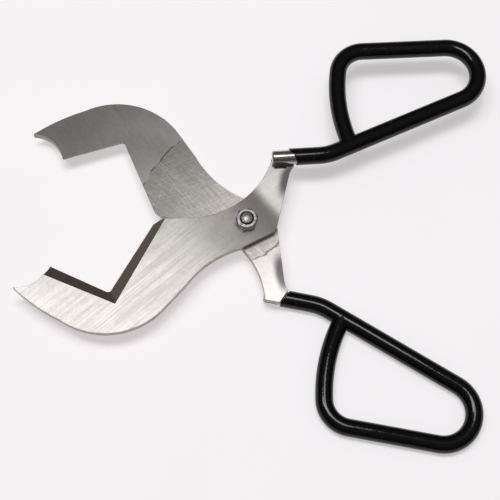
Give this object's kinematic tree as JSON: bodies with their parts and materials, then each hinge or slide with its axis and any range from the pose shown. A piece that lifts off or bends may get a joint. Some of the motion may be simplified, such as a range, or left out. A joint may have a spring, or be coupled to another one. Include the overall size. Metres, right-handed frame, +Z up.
{
  "type": "crucible tongs",
  "caption": "Scissor tongs for small crucibles: flat steel arms with bevelled V notches cross at a bolted pivot and end in vinyl-dipped rod finger loops.",
  "frame": {"origin": "middle of the tongs' length and width, on the surface they lie on, at the opening the joint's zero stands for", "axes": "+X from the jaws towards the handles, +Z up through the pivot, away from the surface; the arm whose jaw is at -Y and whose handle is at +Y lies on top"},
  "size_m": [0.2586, 0.2408, 0.0268],
  "materials": {
    "brushed_plate": "brushed stainless plate, fine straight grain",
    "bare_rod": "drawn bright steel rod",
    "weld_bead": "heat-tinted weld metal",
    "black_vinyl": "black dipped vinyl, glossy",
    "zinc_plated": "plated hardware steel"
  },
  "bodies": {
    "upper_arm": {"upper_arm_plate": "brushed_plate", "upper_handle_rod": "bare_rod", "upper_rod_weld": "weld_bead", "upper_loop_weld": "weld_bead", "upper_handle_grip": "black_vinyl"},
    "lower_arm": {"lower_arm_plate": "brushed_plate", "lower_handle_rod": "bare_rod", "lower_rod_weld": "weld_bead", "lower_loop_weld": "weld_bead", "lower_handle_grip": "black_vinyl", "pivot_bolt": "zinc_plated", "pivot_nut": "zinc_plated"}
  },
  "joints": [
    {"name": "pivot", "type": "hinge", "parent": "lower_arm", "child": "upper_arm", "pos_m": [-0.00498, 0, 0.01337], "axis": [0, 0, 1], "range_deg": [-41, 20]}
  ]
}
